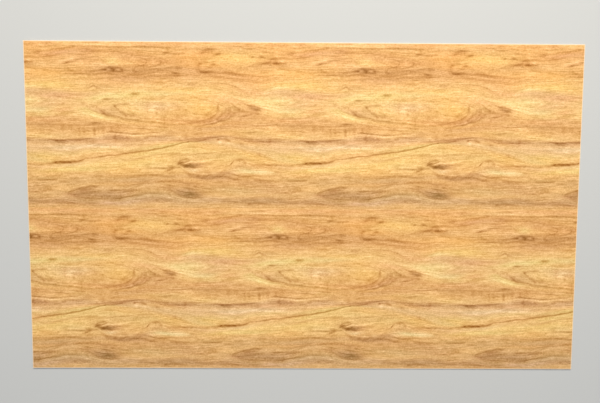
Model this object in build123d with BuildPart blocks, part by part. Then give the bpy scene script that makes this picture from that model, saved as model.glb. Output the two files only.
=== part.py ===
"""Thin rigid-PVC sheet with a wood-grain face, one piece of flat stock.

Frame: the sheet lies flat. The origin is on the floor under the middle of the
sheet. +X runs along the grain and the long side, +Y across the sheet, and +Z
up out of the printed face. The back face is at Z = 0. All sizes in mm.
"""

import os

from build123d import *

# ---- driving dimensions ----------------------------------------------------
sheet_length = 2050.0  # along the grain (X)
sheet_width = 1220.0  # across the grain (Y), the usual four-foot sheet width
sheet_thickness = 3.0  # calendered rigid PVC (Z)
arris_face = 0.25  # bevel left by the saw and a wipe with a scraper, face side
arris_back = 0.20  # the same along the back edges

# ---- the sheet -------------------------------------------------------------
with BuildPart() as pvc_sheet:
    # The blank: square-cut corners, straight sawn edges.
    with BuildSketch(Plane.XY) as blank:
        Rectangle(sheet_length, sheet_width)
    extrude(amount=sheet_thickness)

    # The four edges round the printed face, then the four round the back. Both
    # bevels run right round, so every outer edge of the sheet is taken off the
    # same way and the corners stay square in plan.
    face_edges = pvc_sheet.edges().group_by(Axis.Z)[-1]
    chamfer(face_edges, length=arris_face)
    back_edges = pvc_sheet.edges().group_by(Axis.Z)[0]
    chamfer(back_edges, length=arris_back)

pvc_sheet.part.label = "pvc_sheet"

# ---- checks on the geometry itself -----------------------------------------
box = pvc_sheet.part.bounding_box()
assert abs(box.size.X - sheet_length) < 1e-6
assert abs(box.size.Y - sheet_width) < 1e-6
assert abs(box.size.Z - sheet_thickness) < 1e-6
assert len(pvc_sheet.part.solids()) == 1

# ---- output ----------------------------------------------------------------
os.makedirs("parts", exist_ok=True)
export_step(pvc_sheet.part, "parts/pvc_sheet.step")
print(
    "pvc_sheet",
    f"{box.size.X:.1f} x {box.size.Y:.1f} x {box.size.Z:.1f} mm,",
    f"{pvc_sheet.part.volume / 1e6:.4f} litres",
)
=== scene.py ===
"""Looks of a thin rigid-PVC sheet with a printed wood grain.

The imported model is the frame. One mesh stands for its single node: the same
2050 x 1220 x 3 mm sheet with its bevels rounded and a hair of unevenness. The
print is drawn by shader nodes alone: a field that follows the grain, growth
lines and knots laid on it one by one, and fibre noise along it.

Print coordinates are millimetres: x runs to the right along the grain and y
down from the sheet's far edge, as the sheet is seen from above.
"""

import math

import bmesh
import bpy
from mathutils import Matrix, Vector


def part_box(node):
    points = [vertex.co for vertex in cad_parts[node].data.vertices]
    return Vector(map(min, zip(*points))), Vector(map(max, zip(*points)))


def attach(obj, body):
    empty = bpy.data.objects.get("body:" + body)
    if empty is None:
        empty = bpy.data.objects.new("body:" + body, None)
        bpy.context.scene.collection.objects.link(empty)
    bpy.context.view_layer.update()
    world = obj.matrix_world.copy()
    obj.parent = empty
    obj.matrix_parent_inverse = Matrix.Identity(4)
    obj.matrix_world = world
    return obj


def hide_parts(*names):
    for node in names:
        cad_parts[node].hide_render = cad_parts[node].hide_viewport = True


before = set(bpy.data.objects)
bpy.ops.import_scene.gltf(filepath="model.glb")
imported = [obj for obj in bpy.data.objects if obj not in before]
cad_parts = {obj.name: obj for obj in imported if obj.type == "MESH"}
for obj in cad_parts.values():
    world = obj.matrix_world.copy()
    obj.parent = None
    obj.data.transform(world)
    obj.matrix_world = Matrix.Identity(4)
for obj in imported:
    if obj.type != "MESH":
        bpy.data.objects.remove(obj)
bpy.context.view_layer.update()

NODE = "pvc_sheet"
LOW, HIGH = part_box(NODE)
LENGTH = (HIGH[0] - LOW[0]) * 1000.0  # mm, along the grain
WIDTH = (HIGH[1] - LOW[1]) * 1000.0
THICK = (HIGH[2] - LOW[2]) * 1000.0

# ---------------------------------------------------------------------------
# Camera: straight above, a touch beyond the middle, looking slightly back.
# ---------------------------------------------------------------------------
cam_data = bpy.data.cameras.new("camera")
cam = bpy.data.objects.new("camera", cam_data)
bpy.context.scene.collection.objects.link(cam)
cam_data.sensor_width = 36.0
cam_data.lens = 33.0
cam_data.clip_start = 0.02
cam_data.clip_end = 100.0
toward = Vector((0.0082, -0.0746, -0.9972)).normalized()
up = Vector((-0.0051, 0.9972, -0.0746)).normalized()
right = toward.cross(up).normalized()
up = right.cross(toward).normalized()
turn = Matrix((right, up, -toward)).transposed().to_4x4()
turn.translation = Vector((-0.0325, 0.1810, 2.0457))
cam.matrix_world = turn
bpy.context.scene.camera = cam

# ---------------------------------------------------------------------------
# Node-graph helper
# ---------------------------------------------------------------------------
REPEAT = 924.0  # mm, the print's repeat along the grain
ROW = 614.0  # mm, its repeat across the sheet
ROW_STEP = 318.0  # mm, how far each row is set back from the one above
SEAM = 6.0  # mm of the first row that the sheet's far edge cuts off


class Graph:
    """Adds nodes to a tree in the order they are worked out."""

    def __init__(self, tree):
        self.tree = tree
        self.count = 0

    def node(self, kind, **props):
        made = self.tree.nodes.new(kind)
        made.location = ((self.count % 48) * 190, -(self.count // 48) * 300)
        made.hide = True
        self.count += 1
        for key, value in props.items():
            setattr(made, key, value)
        return made

    def put(self, socket, value):
        if isinstance(value, bpy.types.NodeSocket):
            self.tree.links.new(value, socket)
        else:
            socket.default_value = value

    def math(self, op, a, b=None, c=None, clamp=False):
        made = self.node("ShaderNodeMath", operation=op, use_clamp=clamp)
        for i, value in enumerate((a, b, c)):
            if value is not None:
                self.put(made.inputs[i], value)
        return made.outputs[0]

    def vec(self, op, a, b=None, c=None):
        made = self.node("ShaderNodeVectorMath", operation=op)
        for i, value in enumerate((a, b, c)):
            if value is not None:
                self.put(made.inputs[i], value)
        return made.outputs["Value" if op in ("DOT_PRODUCT", "LENGTH") else "Vector"]

    def join(self, x, y, z=0.0):
        made = self.node("ShaderNodeCombineXYZ")
        for i, value in enumerate((x, y, z)):
            self.put(made.inputs[i], value)
        return made.outputs[0]

    def span(self, value, a, b, c=0.0, d=1.0, smooth=False, clamp=True):
        # A smooth step needs no clamp of its own.
        made = self.node("ShaderNodeMapRange", clamp=clamp and not smooth)
        made.interpolation_type = "SMOOTHSTEP" if smooth else "LINEAR"
        for name, item in (
            ("Value", value),
            ("From Min", a),
            ("From Max", b),
            ("To Min", c),
            ("To Max", d),
        ):
            self.put(made.inputs[name], item)
        return made.outputs[0]

    def curve(self, value, points, handle="AUTO_CLAMPED"):
        """A drawn curve over 0..1; points are (x, y) in order, both 0..1."""
        made = self.node("ShaderNodeFloatCurve")
        mapping = made.mapping
        mapping.extend = "HORIZONTAL"
        line = mapping.curves[0]
        while len(line.points) < len(points):
            line.points.new(0.5, 0.5)
        for dot, (x, y) in zip(line.points, points):
            dot.location = (x, y)
            dot.handle_type = handle
        mapping.update()
        self.put(made.inputs["Value"], value)
        return made.outputs[0]

    def noise(self, where, scale=1.0, detail=0.0, rough=0.5, size="3D"):
        made = self.node("ShaderNodeTexNoise", noise_dimensions=size)
        self.put(made.inputs["Vector"], where)
        made.inputs["Scale"].default_value = scale
        made.inputs["Detail"].default_value = detail
        made.inputs["Roughness"].default_value = rough
        return made.outputs[0]

    def ramp(self, value, stops):
        made = self.node("ShaderNodeValToRGB")
        band = made.color_ramp
        band.interpolation = "LINEAR"
        while len(band.elements) < len(stops):
            band.elements.new(0.5)
        for item, (at, colour) in zip(band.elements, stops):
            item.position = at
            item.color = (*colour, 1.0)
        self.put(made.inputs[0], value)
        return made.outputs[0]

    def mix(self, fac, a, b, blend="MIX"):
        made = self.node("ShaderNodeMix", data_type="RGBA", blend_type=blend)
        self.put(made.inputs[0], fac)
        self.put(made.inputs[6], a)
        self.put(made.inputs[7], b)
        return made.outputs[2]

    def use(self, tree, values):
        made = self.node("ShaderNodeGroup")
        made.node_tree = tree
        for socket, value in zip(made.inputs, values):
            self.put(socket, value)
        return list(made.outputs)


def open_group(name, inputs, outputs):
    tree = bpy.data.node_groups.new(name, "ShaderNodeTree")
    for side, pairs in (("INPUT", inputs), ("OUTPUT", outputs)):
        for kind, label in pairs:
            tree.interface.new_socket(label, in_out=side, socket_type="NodeSocket" + kind)
    g = Graph(tree)
    return g, list(g.node("NodeGroupInput").outputs)


def close_group(g, values):
    end = g.node("NodeGroupOutput")
    for socket, value in zip(end.inputs, values):
        g.put(socket, value)
    return g.tree


def linear(*rgb):
    """0..255 display values to linear light."""
    return tuple(
        (c / 255 / 12.92 if c / 255 <= 0.04045 else ((c / 255 + 0.055) / 1.055) ** 2.4)
        for c in rgb
    )


# ---------------------------------------------------------------------------
# The print, drawn on one repeat (x 0..924, y -6..608)
# ---------------------------------------------------------------------------
# Guides: lines that the grain follows, from top to bottom. Each has a level,
# and the grain field runs evenly from one level to the next between them.
GUIDES = [
    (-6, [(0, -6), (924, -6)]),
    (22, [(0, 31), (60, 31), (110, 27), (175, 20), (300, 20), (500, 21), (600, 22),
          (760, 20), (840, 21), (880, 27), (924, 31)]),
    (52, [(0, 57), (60, 56), (110, 53), (160, 47), (210, 46), (300, 50), (380, 48),
          (440, 53), (500, 57), (560, 50), (640, 50), (700, 46), (780, 50), (850, 52),
          (900, 55), (924, 57)]),
    (78, [(0, 76), (60, 79), (140, 79), (165, 75), (200, 69), (250, 66), (300, 72),
          (350, 74), (400, 72), (447, 72), (500, 74), (560, 80), (620, 84), (660, 84),
          (720, 82), (790, 88), (820, 85), (860, 79), (900, 75), (924, 76)]),
    (105, [(0, 112), (60, 111), (120, 113), (200, 112), (290, 107), (320, 103),
           (350, 104), (400, 108), (440, 104), (480, 98), (520, 95), (560, 95),
           (600, 100), (640, 106), (700, 110), (760, 113), (800, 116), (860, 116),
           (924, 112)]),
    (130, [(0, 136), (100, 134), (160, 132), (250, 132), (320, 128), (380, 128),
           (430, 130), (470, 127), (520, 125), (560, 124), (620, 125), (700, 129),
           (790, 137), (860, 142), (924, 136)]),
    (160, [(0, 160), (100, 157), (200, 161), (235, 163), (250, 159), (265, 163),
           (300, 162), (400, 160), (500, 158), (600, 154), (680, 151), (740, 156),
           (790, 170), (830, 174), (880, 170), (924, 160)]),
    (190, [(0, 190), (100, 189), (200, 190), (300, 185), (400, 183), (500, 183),
           (600, 178), (680, 172), (740, 176), (790, 190), (830, 198), (880, 198),
           (924, 190)]),
    (225, [(0, 240), (60, 237), (120, 233), (180, 230), (215, 231), (260, 222),
           (320, 211), (400, 203), (500, 199), (600, 198), (660, 199), (720, 202),
           (770, 210), (820, 222), (860, 230), (900, 237), (924, 240)]),
    (242, [(0, 262), (60, 258), (120, 250), (180, 241), (215, 239), (262, 257),
           (300, 268), (340, 275), (380, 285), (430, 291), (480, 295), (540, 300),
           (600, 303), (650, 303), (690, 298), (720, 288), (745, 278), (780, 267),
           (820, 263), (860, 262), (900, 263), (924, 262)]),
    (300, [(0, 300), (100, 300), (200, 301), (300, 300), (340, 303), (400, 309),
           (460, 313), (520, 313), (600, 315), (660, 313), (720, 306), (780, 302),
           (850, 301), (924, 300)]),
    (340, [(0, 346), (60, 348), (120, 350), (200, 349), (260, 344), (300, 337),
           (330, 336), (380, 339), (420, 341), (460, 337), (500, 335), (560, 340),
           (620, 341), (660, 338), (700, 336), (760, 337), (800, 341), (860, 345),
           (924, 346)]),
    (358, [(0, 357), (60, 359), (120, 359), (180, 357), (240, 353), (300, 350),
           (340, 352), (400, 357), (440, 356), (500, 356), (560, 358), (620, 356),
           (660, 351), (700, 345), (735, 344), (770, 348), (800, 351), (860, 355),
           (924, 357)]),
    (400, [(0, 422), (60, 432), (110, 438), (180, 437), (215, 427), (300, 416),
           (340, 412), (380, 405), (420, 399), (450, 396), (480, 389), (510, 383),
           (550, 374), (580, 368), (610, 366), (640, 368), (700, 375), (760, 384),
           (830, 398), (880, 410), (924, 422)]),
    (452, [(0, 456), (60, 461), (110, 458), (180, 456), (240, 453), (300, 452),
           (345, 448), (400, 446), (440, 445), (500, 447), (540, 446), (565, 452),
           (585, 460), (610, 460), (650, 456), (690, 455), (740, 449), (757, 440),
           (790, 430), (815, 437), (840, 444), (880, 448), (924, 456)]),
    (488, [(0, 491), (40, 493), (110, 491), (180, 487), (240, 488), (320, 489),
           (400, 490), (460, 487), (540, 488), (590, 487), (620, 489), (650, 493),
           (700, 489), (740, 490), (780, 489), (820, 488), (880, 490), (924, 491)]),
    (518, [(0, 524), (80, 520), (160, 519), (220, 514), (300, 514), (340, 516),
           (400, 512), (460, 508), (520, 504), (580, 507), (640, 512), (700, 516),
           (780, 520), (850, 521), (924, 524)]),
    (542, [(0, 550), (60, 549), (100, 543), (140, 548), (160, 545), (190, 535),
           (240, 527), (300, 527), (340, 531), (400, 524), (460, 518), (520, 522),
           (560, 530), (600, 535), (650, 540), (720, 547), (800, 549), (860, 549),
           (924, 550)]),
    (572, [(0, 572), (60, 571), (110, 566), (135, 564), (180, 572), (220, 577),
           (330, 578), (370, 570), (400, 562), (440, 555), (490, 553), (530, 560),
           (560, 569), (600, 575), (650, 571), (720, 571), (800, 571), (870, 570),
           (924, 572)]),
    (608, [(0, 608), (924, 608)]),
]

# The oval between two of the guides: their levels, and where along x its loops
# start, are whole, begin to close and end.
OVAL = (225, 242, 205, 300, 650, 835)

# Rings: where the grain runs round a knot. Each: middle x, y, half length and
# half height in mm.
RINGS = [
    (0, 75, 34, 10),
    (583, 447, 40, 13),
    (787, 441, 27, 9),
]

# Growth lines and cracks. Each: points (x, y) or (x, y, strength), half-width
# in mm, (tone, orange, pink), and optionally a half-width for the lower side.
LINES = [
    # -- top band
    ([(0, 36), (60, 36), (95, 32), (128, 28), (150, 26), (182, 21)], 3.4, (-20, 0, 0)),
    ([(195, 21), (260, 20), (330, 22), (400, 21), (440, 20), (500, 21), (540, 23),
      (580, 19)], 3.8, (-26, 0, 0)),
    ([(200, 38), (300, 38), (400, 40), (470, 39), (506, 40)], 2.6, (-14, 0, 1)),
    ([(520, 42), (545, 45), (560, 44), (590, 42)], 3.4, (-26, -1, 0)),
    ([(62, 56), (85, 54), (105, 54), (120, 51), (138, 46)], 4.2, (-18, 0, 1)),
    ([(190, 53), (215, 50), (243, 45)], 4.0, (-14, 0, 1)),
    ([(150, 78, .8), (165, 76, 1), (182, 73, .8), (200, 68, .7), (218, 65, .6),
      (238, 61, .5), (258, 56, .5), (285, 57, 0)], 3.6, (-27, -2, 0)),
    ([(368, 45), (400, 49), (430, 52), (455, 54), (490, 58), (508, 63)], 4, (-27, 0, 0)),
    ([(385, 55, .2), (410, 57, .7), (430, 60, .9), (443, 66, 1), (449, 72, 0)],
     3.2, (-22, 0, 0)),
    ([(395, 96, 0), (415, 91, .8), (432, 86, .9), (444, 79, 1), (449, 72, 0)],
     3.2, (-21, 0, 0)),
    ([(405, 108, .4), (430, 99, .7), (460, 93, .9), (485, 86, 1), (499, 77, .9),
      (503, 70, 0)], 4, (-19, 0, 0)),
    ([(108, 98), (130, 100), (165, 97), (205, 94)], 3.0, (-12, 0, 0)),
    ([(160, 105), (200, 108), (240, 110), (285, 105)], 4, (-19, 1, 1)),
    ([(145, 119, 0), (165, 118, .8), (190, 117, 1), (220, 119, 1), (250, 120, 1),
      (290, 117, 1), (320, 118, .8), (350, 120, 0)], 4.6, (-27, 1, 0)),
    ([(298, 109), (320, 109), (345, 110), (364, 106)], 3.8, (-17, 0, 1)),
    ([(400, 113), (440, 104), (480, 99), (520, 95), (560, 93), (585, 94)], 4.4, (-18, 0, 1)),
    ([(350, 117), (375, 119), (400, 119), (430, 118), (455, 114), (480, 108), (530, 102)],
     4.8, (-17, 0, 1)),
    ([(325, 122), (350, 126), (370, 127), (390, 126), (420, 122), (450, 116)],
     4.8, (-15, 0, 1)),
    ([(395, 130), (430, 131), (450, 129), (470, 126), (500, 125), (530, 123), (560, 122),
      (600, 126)], 4.8, (-17, 0, 1)),
    ([(345, 136), (372, 139), (400, 138)], 4.0, (-12, 1, 1)),
    ([(450, 150), (480, 148), (500, 148), (540, 143), (570, 147)], 3.0, (-18, 1, 1)),
    # -- hooked mark and its long dark line
    ([(632, 102, .2), (645, 108, .9), (660, 110, 1), (675, 108, .9), (700, 111, .75),
      (720, 110, .8), (745, 112, .9), (762, 115, 1), (780, 117, .9), (800, 119, .6),
      (830, 121, 0)], 5.6, (-33, 1, 0)),
    ([(820, 121), (870, 124), (924, 128)], 3.2, (-14, 1, 0)),
    ([(650, 126), (700, 128), (740, 132), (780, 136), (802, 139)], 4, (-14, 1, 1)),
    ([(662, 142), (690, 150), (730, 152), (750, 155), (775, 163), (790, 172),
      (808, 178)], 3.4, (-22, -1, 1)),
    ([(735, 178), (755, 184), (775, 191), (800, 197), (830, 199)], 3.0, (-17, -2, 0)),
    ([(690, 165), (712, 172), (735, 177)], 3.0, (-12, -2, 0)),
    ([(730, 17), (755, 16), (780, 18), (815, 24), (860, 24)], 3.8, (-20, 0, 0)),
    ([(865, 37), (890, 35), (924, 37)], 3.0, (-13, 0, 0)),
    # -- the small knot at the repeat's end
    ([(775, 97, 0), (800, 95, .6), (820, 88, .8), (850, 84, .8), (870, 79, .9),
      (885, 75, 1), (905, 74, 1), (924, 75, 1)], 5.6, (-20, 0, 1)),
    ([(892, 68), (902, 62), (915, 58), (924, 57)], 4, (-25, 0, 1)),
    ([(0, 57, 1), (15, 57, 1), (30, 58, .5), (52, 59, 0)], 4.0, (-20, 1, 1)),
    # -- small arch
    ([(226, 170, 0), (236, 169, .5), (243, 165, .9), (250, 162, 1), (258, 164, .9),
      (268, 169, .8), (282, 169, 0)], 3.8, (-42, -1, 0)),
    # -- the long oval
    ([(225, 237, .1), (240, 246, .3), (262, 256, .4), (285, 263, .5), (300, 268, .6),
      (320, 271, .8), (340, 275, 1), (360, 281, 1), (380, 284, 1), (400, 286, 1),
      (425, 289, 1), (450, 291, .95), (480, 294, .9), (500, 296, .8), (520, 299, .65),
      (560, 301, .5), (600, 300, 0)], 4.2, (-36, 0, 0)),
    ([(560, 300, .4), (600, 296, .7), (630, 290, .9), (655, 284, 1), (675, 277, 1),
      (690, 269, 1), (700, 260, .9), (706, 250, 0)], 3.8, (-27, 0, 0)),
    ([(612, 308, 0), (630, 306, .8), (650, 303, .9), (665, 299, 1), (690, 297, 1),
      (706, 290, .5), (712, 286, 0)], 3.8, (-30, 1, 0)),
    ([(700, 285, 0), (712, 286, 1), (725, 286, 1), (738, 281, 1), (748, 275, .8),
      (755, 266, 0)], 4, (-28, 0, 0)),
    ([(318, 233, .2), (328, 232, 1), (345, 229, .9), (365, 226, .8), (392, 221, 0)],
     4.6, (-29, -2, 0)),
    ([(322, 233, .6), (328, 236, 1), (336, 244, 1), (346, 251, .9), (356, 257, .8),
      (368, 263, .5), (384, 264, 0)], 5.6, (-27, -2, 1)),
    ([(222, 243), (240, 252), (262, 259), (285, 270), (305, 275)], 4.4, (-14, -2, 0)),
    ([(258, 236, 0), (268, 245, 1), (280, 255, 1), (292, 264, 1), (312, 270, 0)],
     6.8, (-22, -1, 1)),
    ([(750, 219), (762, 228), (775, 238), (790, 247)], 3.8, (-20, -2, 0)),
    ([(770, 212, 0), (785, 217, .7), (800, 222, .8), (814, 227, 0)], 3.2, (-14, -1, 0)),
    ([(784, 272, 0), (800, 268, .8), (815, 264, .9), (832, 260, 1), (853, 257, .8),
      (862, 256, 0)], 3.6, (-20, -1, 0)),
    ([(500, 262), (530, 265), (560, 269), (605, 268)], 3.2, (-13, 0, 0)),
    ([(590, 200, 0), (620, 203, .5), (650, 207, .8), (675, 213, 1), (694, 223, 1),
      (703, 233, .8), (707, 240, 0)], 3.4, (-17, -1, 0)),
    ([(430, 224, 0), (450, 214, .6), (480, 208, .8), (520, 206, .8), (560, 209, .6),
      (590, 214, 0)], 3.4, (-11, -1, 0)),
    # -- the strip over the right-hand knot
    ([(808, 231, 0), (822, 229, .8), (836, 230, 1), (852, 235, 1), (870, 241, .9),
      (890, 247, .8), (910, 253, .6), (924, 257, .5)], 3.4, (-23, -1, 0)),
    ([(0, 257), (20, 261), (50, 264)], 3.2, (-12, -2, 0)),
    # -- below the oval
    ([(0, 300), (60, 303), (120, 303), (180, 304), (230, 303), (270, 303), (305, 304)],
     4.4, (-18, 0, 0)),
    ([(0, 322), (40, 324), (70, 322), (112, 325)], 3.4, (-14, 1, 0)),
    ([(20, 336), (60, 337), (100, 335)], 3.0, (-9, -1, 0)),
    ([(290, 329, .4), (310, 327, .9), (330, 330, 1), (350, 332, 1), (370, 333, 1),
      (390, 335, 1), (415, 336, .8), (440, 334, .7), (470, 330, .8), (500, 330, 0)],
     3.0, (-28, -1, 0)),
    ([(404, 317), (420, 317), (432, 315), (448, 318), (464, 321)], 3.2, (-26, -1, 0)),
    ([(484, 310), (500, 311), (520, 311), (528, 308)], 3.4, (-27, -1, 0)),
    ([(750, 330), (800, 329), (840, 327), (870, 324), (895, 319)], 3.4, (-19, -5, 0)),
    ([(820, 303), (850, 303), (890, 301), (924, 300)], 3.8, (-22, 1, 1)),
    ([(625, 337), (645, 333), (665, 335), (690, 333)], 3.2, (-14, 1, 1)),
    # -- dark streak with a soft brown underside
    ([(62, 361, 0), (80, 360, .5), (92, 359, .7), (110, 360, 1), (122, 360, 1),
      (142, 359, 1), (165, 357, .95), (195, 356, 1), (215, 355, .85), (235, 353, .75),
      (262, 353, 0)], 3.4, (-46, 0, 0), 5.4),
    ([(18, 367), (60, 369), (110, 369), (150, 366), (200, 363), (250, 361), (300, 354),
      (340, 350), (380, 352), (400, 357)], 7.5, (-21, -1, 2)),
    ([(396, 358), (420, 357), (435, 353), (450, 347), (458, 341), (468, 337)],
     6, (-16, 0, 0)),
    ([(460, 344), (485, 345), (505, 344), (522, 340), (548, 340)], 5.4, (-20, 0, 1)),
    # -- the long crack
    ([(186, 438, .3), (200, 434, .6), (210, 430, .75), (220, 426, .75), (240, 424, .75),
      (262, 421, .8), (285, 418, .9), (305, 414, .9), (320, 414, .9), (340, 412, .9),
      (355, 409, .95), (375, 406, 1), (395, 402, 1), (420, 399, 1), (445, 397, .9),
      (460, 393, 1), (475, 390, 1), (500, 386, .9), (520, 380, .85), (545, 376, .8),
      (560, 371, .8), (580, 366, .8), (600, 363, .8)], 3.1, (-58, 0, 0)),
    ([(590, 363, .6), (620, 362, .9), (640, 359, 1), (655, 355, 1), (668, 350, 1),
      (690, 346, .9), (712, 343, .7), (730, 342, .6), (755, 344, .7), (775, 348, .9),
      (800, 351, 1), (830, 353, .9), (860, 353, .8), (890, 352, .9), (924, 352, .8)],
     4, (-34, 0, 1)),
    ([(0, 352, .8), (14, 353, .8), (34, 354, 0)], 4.2, (-13, -2, 0)),
    ([(0, 447, 1), (40, 447, .9), (80, 447, .8), (98, 444, .9), (112, 441, 1)],
     3.8, (-26, -2, 0)),
    ([(90, 444, 0), (100, 442, .5), (114, 441, .75), (124, 440, .95), (142, 441, 1),
      (160, 441, 1), (172, 439, .95), (186, 438, .8), (200, 434, .35), (214, 429, 0)],
     5.6, (-74, -2, 0)),
    ([(532, 359), (560, 357), (580, 357), (600, 353), (630, 352), (655, 349), (668, 345),
      (700, 341)], 3.8, (-22, 0, 1)),
    ([(700, 355, .6), (706, 354, 1), (716, 352, 1), (730, 352, .9), (742, 355, .9),
      (756, 361, 0)], 3.4, (-34, 1, 1)),
    ([(790, 356, 0), (806, 360, .9), (820, 362, 1), (850, 362, .9), (880, 361, .9),
      (910, 361, .9), (924, 361, .6)], 3.8, (-30, -1, 1)),
    ([(0, 361, .6), (12, 361, .5), (28, 362, 0)], 3.8, (-8, -2, 0)),
    # -- pale field under the crack
    ([(598, 407), (640, 405), (680, 404), (720, 402), (760, 399), (796, 397)], 3.4,
     (-24, -2, 0)),
    ([(448, 417), (480, 411), (510, 409), (540, 406), (572, 405)], 3.8, (-24, -4, 0)),
    ([(522, 412), (560, 409), (600, 411), (640, 410)], 3.2, (-17, -3, 0)),
    ([(345, 434), (380, 431), (400, 428), (430, 422), (462, 416)], 4.2, (-30, -5, -1)),
    ([(468, 427), (500, 421), (540, 417), (590, 415)], 3, (-17, -3, 0)),
    ([(705, 412), (740, 411), (780, 407), (812, 408)], 3.4, (-14, -2, 0)),
    ([(300, 459), (330, 457), (355, 451), (385, 447)], 3.2, (-15, -2, 0)),
    ([(425, 466), (450, 463), (480, 462), (520, 461), (555, 459), (575, 455)],
     3.4, (-24, -4, 0)),
    ([(240, 476), (262, 473), (290, 475)], 3.0, (-12, -2, 0)),
    ([(140, 483), (180, 482), (225, 478)], 3.0, (-10, -2, 0)),
    # -- the ringed knot
    ([(553, 441, 0), (563, 435, .8), (575, 429, 1), (590, 426, 1), (600, 429, .5),
      (606, 433, 0)], 3, (-32, -1, 0)),
    ([(552, 449, .3), (560, 444, 1), (572, 440, 1), (586, 438, 1), (597, 434, .8),
      (606, 429, 0)], 3.2, (-42, 1, 0)),
    ([(598, 449, .8), (625, 445, .9), (655, 441, .7), (685, 439, .7), (704, 433, .2)],
     5.6, (-17, 0, 1)),
    ([(572, 448, .7), (590, 442, 1), (605, 438, 1), (640, 437, .8), (665, 431, .5),
      (695, 427, .2)], 3.2, (31, -2, 2)),
    ([(568, 470, .2), (580, 474, .8), (590, 478, 1), (600, 483, 1), (620, 486, .9),
      (645, 492, .3)], 7, (-14, 0, 0)),
    ([(640, 451), (665, 448), (690, 443)], 3.4, (-10, -1, 0)),
    # -- curled mark and the pale pool beside it
    ([(748, 448, .4), (753, 444, 1), (758, 438, 1), (762, 433, .9), (770, 430, .8),
      (785, 428, .9), (796, 427, .8), (806, 432, 0)], 3.6, (-34, 0, 0)),
    ([(680, 461), (700, 455), (722, 450), (742, 449), (752, 447)], 3.3, (-22, -2, 0)),
    ([(766, 456), (782, 453), (800, 447)], 3.2, (-15, -2, 0)),
    ([(800, 428), (840, 429), (880, 428), (924, 431)], 3.4, (-13, -2, 0)),
    ([(820, 447, .2), (850, 447, .7), (880, 447, .9), (895, 449, 1), (910, 447, .9),
      (924, 447, 1)], 4.2, (-32, 0, 0)),
    # -- long dark line and what runs off it
    ([(220, 488), (260, 488), (300, 487), (320, 489), (380, 491), (410, 491), (430, 488),
      (460, 487), (490, 488), (520, 489), (560, 487), (592, 486)], 4.6, (-29, -1, 0)),
    ([(592, 486, .6), (625, 488, .9), (655, 490, 1), (672, 487, 1), (700, 489, 1),
      (730, 490, 1), (750, 494, .9), (770, 499, .7), (800, 502, 0)], 6.6, (-30, -1, 0)),
    ([(690, 478, 0), (720, 476, .5), (745, 478, .7), (765, 483, .9), (780, 488, 1),
      (800, 489, 1), (815, 489, .8), (830, 487, .8), (850, 486, .9), (870, 489, .8),
      (890, 489, .7), (924, 486, .5)], 4.6, (-33, -1, 0)),
    ([(0, 486, .5), (10, 489, .3), (20, 490, 0)], 3.6, (-18, 0, 1)),
    ([(5, 496), (25, 494), (48, 493)], 4.0, (-19, 1, 0)),
    ([(56, 495), (90, 491), (128, 490)], 4.0, (-22, 0, 0)),
    ([(0, 507, .8), (20, 506, .9), (50, 505, 1), (90, 506, 1), (118, 503, 0)], 4.2,
     (-25, 1, 1)),
    ([(835, 502, 0), (850, 503, 1), (870, 505, 1), (924, 507, .8)], 4.6, (-22, 1, 1)),
    ([(112, 516), (130, 514), (150, 512)], 3.4, (-13, 1, 1)),
    ([(248, 516), (270, 516), (292, 513), (318, 508)], 3.6, (-15, 0, 0)),
    # -- the pointed brown figure at the foot of the repeat
    ([(144, 560, 0), (152, 552, .7), (162, 545, .9), (176, 540, 1), (190, 536, 1),
      (205, 533, 1), (225, 529, 1), (240, 528, 1), (262, 530, .5), (290, 529, .3),
      (310, 531, 0)], 4.0, (-28, 0, 0), 7.0),
    ([(298, 546), (330, 543), (355, 545), (380, 541), (408, 540)], 5.0, (-22, 0, 0)),
    ([(338, 530), (370, 527), (395, 524), (420, 520), (440, 518), (468, 518)],
     4.4, (-29, -1, 0)),
    ([(458, 516), (490, 511), (515, 509), (545, 508), (580, 508)], 4.6, (-26, 0, 0)),
    ([(292, 578), (330, 578), (350, 574), (375, 567), (400, 562), (425, 557),
      (445, 554), (480, 553), (508, 555)], 4.4, (-20, -2, 1)),
    ([(150, 562, 0), (185, 569, .7), (225, 574, 1), (290, 577, 1), (335, 574, .8),
      (375, 566, 0)], 5.4, (-14, -1, 1)),
    ([(424, 563), (445, 559), (475, 558), (520, 561)], 3.4, (14, -4, 2)),
    ([(528, 562, 0), (545, 565, .9), (560, 569, 1), (578, 574, 1), (600, 578, .9),
      (630, 579, .6), (660, 577, 0)], 3.6, (24, -3, 3)),
    ([(440, 587), (465, 584), (490, 584)], 3.6, (-17, -2, 1)),
    ([(8, 551), (28, 550), (45, 553), (62, 548), (84, 545), (108, 547)], 4.4, (-19, 0, 0)),
    ([(40, 577), (58, 571), (75, 570), (98, 571), (120, 566)], 4.2, (-16, -2, 0)),
    ([(715, 584), (740, 583), (780, 583), (815, 581)], 3.8, (-20, -2, 1)),
    ([(806, 592), (830, 590), (860, 592), (890, 590)], 4.4, (-20, 0, 2)),
    ([(640, 536), (665, 535), (700, 537)], 3.8, (-15, -1, 0)),
    ([(628, 546), (660, 549), (700, 547), (740, 550)], 4.0, (-14, -1, 0)),
    ([(20, 524), (45, 526), (70, 523)], 3.4, (-10, 1, 1)),
    ([(870, 521), (900, 524), (924, 523)], 4.0, (-14, 1, 1)),
    ([(120, 590), (150, 593), (190, 590)], 3.8, (-13, -2, 1)),
    ([(0, 604), (120, 603), (300, 605), (500, 603), (700, 605), (924, 604)], 2.6,
     (-9, 1, 1)),
    # -- pale lines
    ([(178, 348, 0), (220, 347, .6), (250, 345, .8), (275, 341, .9), (295, 337, 1),
      (315, 335, 1), (335, 335, 1), (355, 338, 1), (380, 341, 1), (400, 343, .9),
      (425, 341, .9), (445, 338, .7), (470, 335, .8), (505, 335, 0)], 4, (28, -1, 3)),
    ([(585, 186, 0), (660, 186, .5), (720, 191, .8), (770, 201, 1), (820, 213, 1),
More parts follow.
